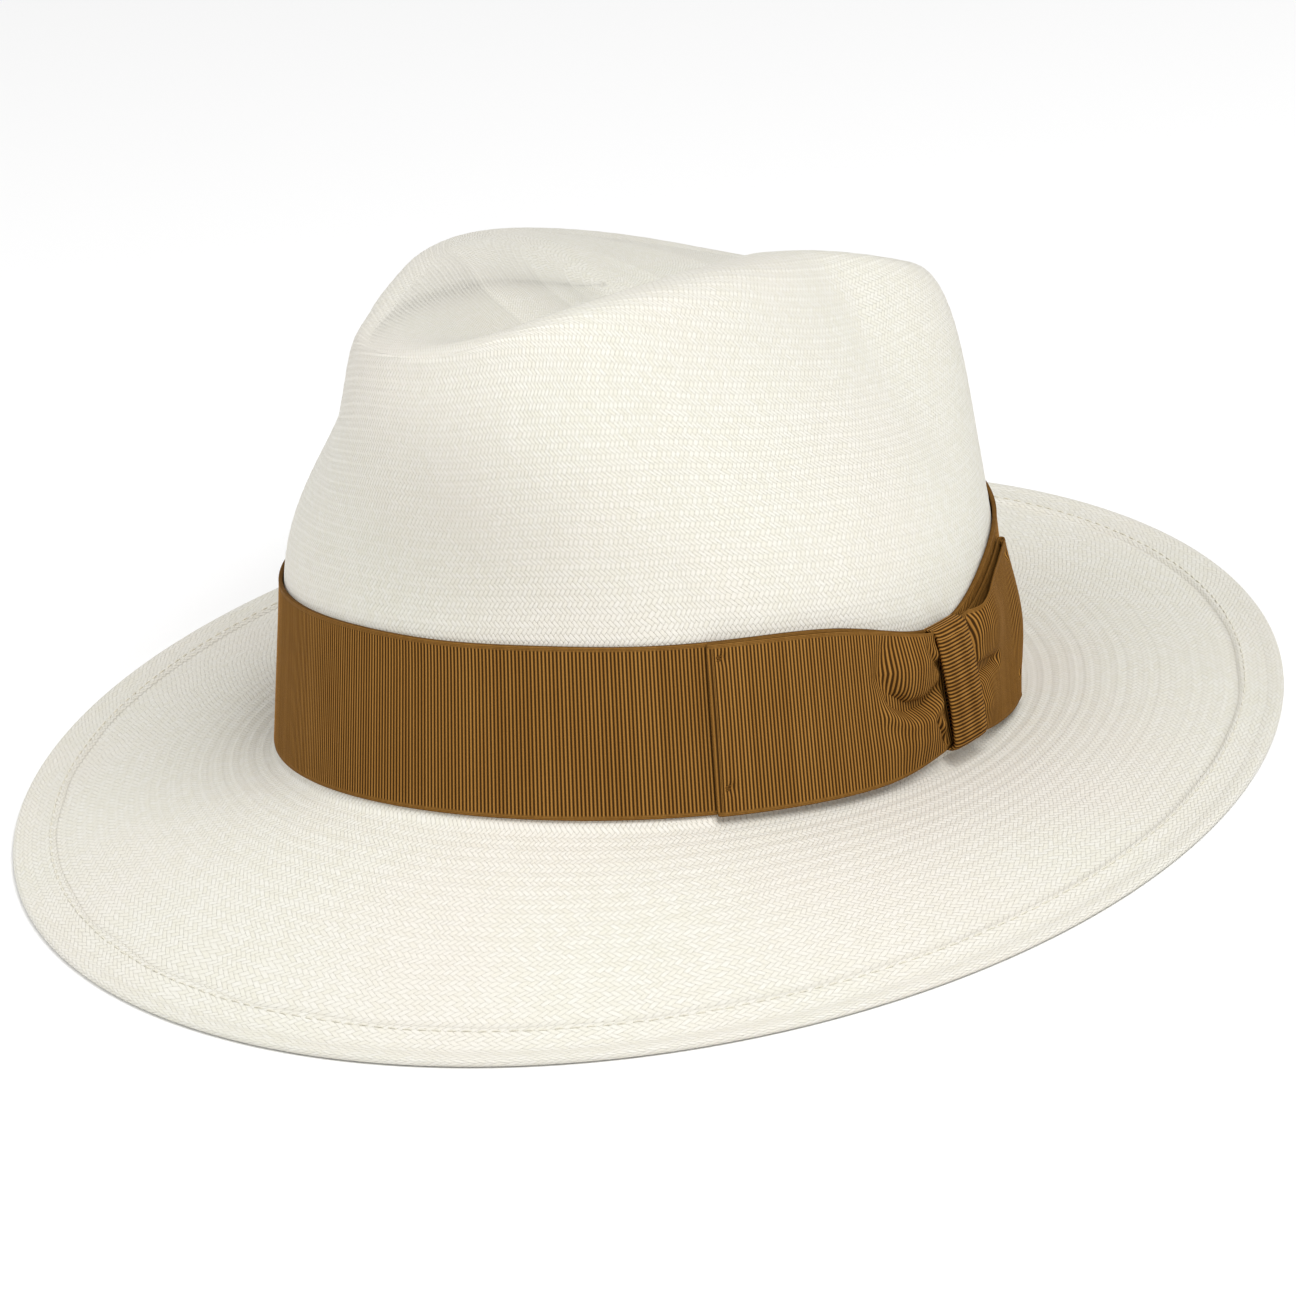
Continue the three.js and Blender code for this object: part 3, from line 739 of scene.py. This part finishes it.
class Net:
    """Short names for building a material's nodes."""

    def __init__(self, name):
        self.material = bpy.data.materials.new(name)
        self.material.use_nodes = True
        self.tree = self.material.node_tree
        self.shader = self.tree.nodes["Principled BSDF"]

    def node(self, kind, inputs=(), **settings):
        node = self.tree.nodes.new(kind)
        for key, value in settings.items():
            setattr(node, key, value)
        for key, value in dict(inputs).items():
            self.put(node.inputs[key], value)
        return node

    def put(self, socket, value):
        if isinstance(value, bpy.types.NodeSocket):
            self.tree.links.new(value, socket)
        elif value is not None:
            socket.default_value = value

    def math(self, operation, *values):
        node = self.node("ShaderNodeMath", enumerate(values), operation=operation)
        return node.outputs[0]

    def uv(self):
        pin = self.node("ShaderNodeUVMap", uv_map="weave")
        parts = self.node("ShaderNodeSeparateXYZ", {0: pin.outputs[0]})
        return parts.outputs[0], parts.outputs[1]

    def noise(self, scale, detail):
        where = self.node("ShaderNodeTexCoord").outputs["Object"]
        node = self.node("ShaderNodeTexNoise", {"Vector": where, "Scale": scale, "Detail": detail})
        return node.outputs[0]

    def random(self, x, y):
        where = self.node("ShaderNodeCombineXYZ", {0: x, 1: y}).outputs[0]
        return self.node("ShaderNodeTexWhiteNoise", {"Vector": where}, noise_dimensions="2D").outputs["Value"]

    def mix(self, share, a, b):
        node = self.node("ShaderNodeMix", data_type="RGBA")
        self.put(node.inputs[0], share)
        self.put(node.inputs[6], a)
        self.put(node.inputs[7], b)
        return node.outputs[2]

    def spread(self, value, low, high, to_low=0.0, to_high=1.0):
        node = self.node("ShaderNodeMapRange", {0: value, 1: low, 2: high, 3: to_low, 4: to_high})
        return node.outputs[0]

    def bump(self, height, distance, strength):
        node = self.node("ShaderNodeBump", {"Strength": strength, "Distance": distance, "Height": height})
        return node.outputs[0]

    def finish(self, colour, roughness, normal=None, **sockets):
        self.put(self.shader.inputs["Base Color"], colour)
        self.put(self.shader.inputs["Roughness"], roughness)
        if normal is not None:
            self.put(self.shader.inputs["Normal"], normal)
        for key, value in sockets.items():
            self.put(self.shader.inputs[key.replace("_", " ")], value)
        return self.material


def straw_material():
    """Short strands at right angles: a row leans one way, the next row the other way."""
    net = Net("straw")
    u, ring = net.uv()
    drift = net.noise(55.0, 2.0)
    drift_v = net.noise(38.0, 1.0)
    x = net.math("ADD", net.math("MULTIPLY", u, 1.75), net.math("MULTIPLY", drift, 3.0))
    y = net.math("ADD", net.math("MULTIPLY", ring, 1.4), net.math("SUBTRACT", drift_v, 0.5))
    p = net.math("ADD", x, y)
    q = net.math("SUBTRACT", x, y)
    i, j = net.math("FLOOR", p), net.math("FLOOR", q)
    kind = net.math("FLOORED_MODULO", net.math("SUBTRACT", i, j), 4.0)
    other = net.math("GREATER_THAN", kind, 1.5)
    half = net.math("COMPARE", kind, 1.5, 0.6)
    p_in, q_in = net.math("FRACT", p), net.math("FRACT", q)

    def pick(first, second):
        return net.math("ADD", first, net.math("MULTIPLY", other, net.math("SUBTRACT", second, first)))

    over = pick(q_in, p_in)
    length = pick(p_in, q_in)
    across = net.math("ABSOLUTE", net.math("SUBTRACT", net.math("MULTIPLY", over, 2.0), 1.0))
    along = net.math("ABSOLUTE", net.math("SUBTRACT", net.math("ADD", half, length), 1.0))
    first = net.math("SUBTRACT", i, net.math("MULTIPLY", half, net.math("SUBTRACT", 1.0, other)))
    second = net.math("SUBTRACT", j, net.math("MULTIPLY", half, other))
    chance = net.random(first, second)
    chance_two = net.random(second, first)
    groove = net.math("POWER", across, 5.0)
    gap = net.math("POWER", along, 6.0)
    sunk = net.math("ADD", net.math("MULTIPLY", groove, 0.6), net.math("MULTIPLY", gap, 0.7))
    height = net.math("SUBTRACT", 1.0, sunk)
    height = net.math("ADD", height, net.math("MULTIPLY", chance, 0.25))
    hole_shade = net.spread(net.math("MULTIPLY", across, along), 0.66, 0.95)
    hole_shade = net.math("MULTIPLY", hole_shade, net.spread(chance_two, 0.2, 0.9, 0.2, 1.0))
    pale = net.mix(chance, (0.765, 0.745, 0.65, 1), (0.80, 0.785, 0.715, 1))
    patch = net.spread(net.noise(14.0, 3.0), 0.4, 0.7)
    pale = net.mix(net.math("MULTIPLY", patch, 0.5), pale, (0.80, 0.745, 0.68, 1))
    on_brim = net.spread(ring, 100.0, 112.0, 1.0, 0.55)
    # Painted shade: the colour is darkened along the strands' sides and ends, where they dip under their
    # neighbours, less so on the brim.
    groove = net.math("MULTIPLY", groove, net.spread(chance_two, 0.0, 1.0, 0.35, 1.0))
    recess_shade = net.math("MAXIMUM", groove, net.math("MULTIPLY", gap, 0.8))
    shade = net.math("MULTIPLY", recess_shade, net.math("MULTIPLY", on_brim, 0.30))
    colour = net.mix(shade, pale, (0.60, 0.56, 0.44, 1))
    # Painted shade in the gaps at the strands' corners, also less on the brim.
    hole_shade = net.math("MULTIPLY", hole_shade, net.math("MULTIPLY", on_brim, 0.7))
    colour = net.mix(hole_shade, colour, (0.33, 0.29, 0.20, 1))
    normal = net.bump(height, 0.00020, 0.9)
    return net.finish(colour, 0.55, normal, Sheen_Weight=0.05, Specular_IOR_Level=0.35)


def grosgrain_material():
    """Ribs across the ribbon, with painted shade between them, and a closer weave at the edges."""
    net = Net("grosgrain")
    u, v = net.uv()
    between = net.math("ABSOLUTE", net.math("COSINE", net.math("MULTIPLY", u, math.pi)))
    groove = net.spread(between, 0.40, 0.85)
    fine = net.math("ABSOLUTE", net.math("SINE", net.math("MULTIPLY", v, 9.0)))
    top = net.math("SUBTRACT", RIBBON_HEIGHT, v)
    edge = net.spread(net.math("MINIMUM", v, top), 0.7, 1.2, 1.0, 0.0)
    line = net.math("MULTIPLY", net.spread(net.math("MINIMUM", v, top), 0.9, 1.15), edge)
    cloud = net.noise(60.0, 3.0)
    thread = net.math("MULTIPLY", net.random(net.math("FLOOR", u), 3.0), 0.35)
    share = net.math("ADD", thread, net.math("MULTIPLY", cloud, 0.4))
    base = net.mix(share, RIBBON_DARK, RIBBON_LIGHT)
    # Painted shade: the grooves between the ribs are darkened towards RIBBON_GROOVE, away from the selvedges.
    dark = net.math("MULTIPLY", groove, net.math("SUBTRACT", 1.0, edge))
    colour = net.mix(net.math("MULTIPLY", dark, 0.92), base, RIBBON_GROOVE)
    close_weave = net.math("ADD", 0.25, net.math("MULTIPLY", fine, 0.4))
    colour = net.mix(net.math("MULTIPLY", edge, close_weave), colour, RIBBON_GROOVE)
    colour = net.mix(line, colour, RIBBON_GROOVE)
    normal = net.bump(fine, 0.00005, 0.5)
    return net.finish(colour, 0.7, normal, Specular_IOR_Level=0.04)


def plain_material(name, colour, roughness, scale, depth, **sockets):
    net = Net(name)
    grain = net.noise(scale, 4.0)
    tint = net.mix(net.spread(grain, 0.3, 0.7), tuple(c * 0.86 for c in colour) + (1,), tuple(colour) + (1,))
    return net.finish(tint, roughness, net.bump(grain, depth, 0.8), **sockets)


def leather_material():
    net = Net("leather")
    where = net.node("ShaderNodeTexCoord").outputs["Object"]
    pores = net.node("ShaderNodeTexVoronoi", {"Vector": where, "Scale": 900.0})
    cloud = net.noise(25.0, 4.0)
    tint = net.mix(net.spread(cloud, 0.3, 0.7), (0.45, 0.27, 0.13, 1), (0.60, 0.40, 0.22, 1))
    tint = net.mix(net.math("MULTIPLY", pores.outputs["Distance"], 0.25), tint, (0.34, 0.20, 0.09, 1))
    return net.finish(tint, 0.42, net.bump(pores.outputs["Distance"], 0.00012, 0.5))


# ---- assemble ----

STRAW_LOOK = straw_material()
RIBBON_LOOK = grosgrain_material()
THREAD_LOOK = plain_material("thread", (0.80, 0.77, 0.66), 0.75, 2500.0, 0.00005)
TACK_LOOK = plain_material("tack_thread", (0.14, 0.062, 0.012), 0.8, 2500.0, 0.00005, Specular_IOR_Level=0.05)
LEATHER_LOOK = leather_material()
LABEL_LOOK = plain_material("label", (0.88, 0.86, 0.80), 0.8, 1500.0, 0.00006)


def show(ob, look, slot_name, *nodes):
    ob.data.materials.append(look)
    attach(ob, "root")
    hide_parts(*nodes)
    return ob


show(straw_body(), STRAW_LOOK, "straw", "straw_body")
show(hem_stitches(), THREAD_LOOK, "thread", "brim_hem_thread")
band = show(ribbon_band(), RIBBON_LOOK, "grosgrain", "ribbon_band")
front_loop = wing("wing_front", -1, FRONT_END, ribbon_high, front_relief, 0.6, 0.0)
front_wing = show(front_loop, RIBBON_LOOK, "grosgrain", "bow_front_wing")
rear_loop = wing("wing_rear", 1, REAR_END, rear_wing_high, rear_relief, 2.2, 6.5)
rear_wing = show(rear_loop, RIBBON_LOOK, "grosgrain", "bow_rear_wing")
wrap = show(knot(), RIBBON_LOOK, "grosgrain", "bow_knot")
for node, ob in tacks().items():
    show(ob, TACK_LOOK, "grosgrain", node)
leather = show(sweatband(), LEATHER_LOOK, "leather", "sweatband")
show(reed(), THREAD_LOOK, "thread", "sweatband_reed")
show(sweat_stitches(), THREAD_LOOK, "thread", "sweatband_stitching")
little_bow = show(seam_bow(), RIBBON_LOOK, "grosgrain", "sweatband_bow")
slip = show(size_slip(), LABEL_LOOK, "label", "size_label")


# ---- floor, lights and camera ----

def area_light(name, where, aim, size, power):
    data = bpy.data.lights.new(name, "AREA")
    data.shape = "SQUARE"
    data.size = size
    data.energy = power
    ob = bpy.data.objects.new(name, data)
    ob.location = where
    ob.rotation_mode = "QUATERNION"
    ob.rotation_quaternion = (Vector(aim) - Vector(where)).to_track_quat("-Z", "Y")
    bpy.context.scene.collection.objects.link(ob)


def stage():
    bpy.ops.mesh.primitive_plane_add(size=8, location=(0, 0, -0.0003))
    floor = bpy.context.object
    floor.name = "floor"
    net = Net("floor")
    floor.data.materials.append(net.finish((0.98, 0.98, 0.98, 1), 1.0, Specular_IOR_Level=0.0))
    world = bpy.data.worlds.new("studio")
    world.use_nodes = True
    world.node_tree.nodes["Background"].inputs[0].default_value = (1, 1, 1, 1)
    world.node_tree.nodes["Background"].inputs[1].default_value = 0.42
    scene = bpy.context.scene
    scene.world = world
    area_light("left", (-1.874, -0.682, 0.98), (0, 0, 0.05), 1.3, 15)
    area_light("key", (1.093, -0.631, 1.852), (0, 0, 0.05), 1.3, 41)
    scene.view_settings.view_transform = "Standard"
    scene.view_settings.look = "None"


def camera():
    data = bpy.data.cameras.new("camera")
    data.sensor_width = 36.0
    data.lens = 208.5
    data.clip_end = 50
    ob = bpy.data.objects.new("camera", data)
    where = Vector((0.79634, -1.45617 - EDGE_MIDDLE / 1000, 0.75215))
    aim = Vector((0.00273, -0.00309 - EDGE_MIDDLE / 1000, 0.02777))
    roll = math.radians(-6.65)
    ob.location = where
    ob.rotation_mode = "QUATERNION"
    ob.rotation_quaternion = (aim - where).to_track_quat("-Z", "Y") @ Quaternion((0, 0, 1), roll)
    bpy.context.scene.collection.objects.link(ob)
    bpy.context.scene.camera = ob


stage()
camera()
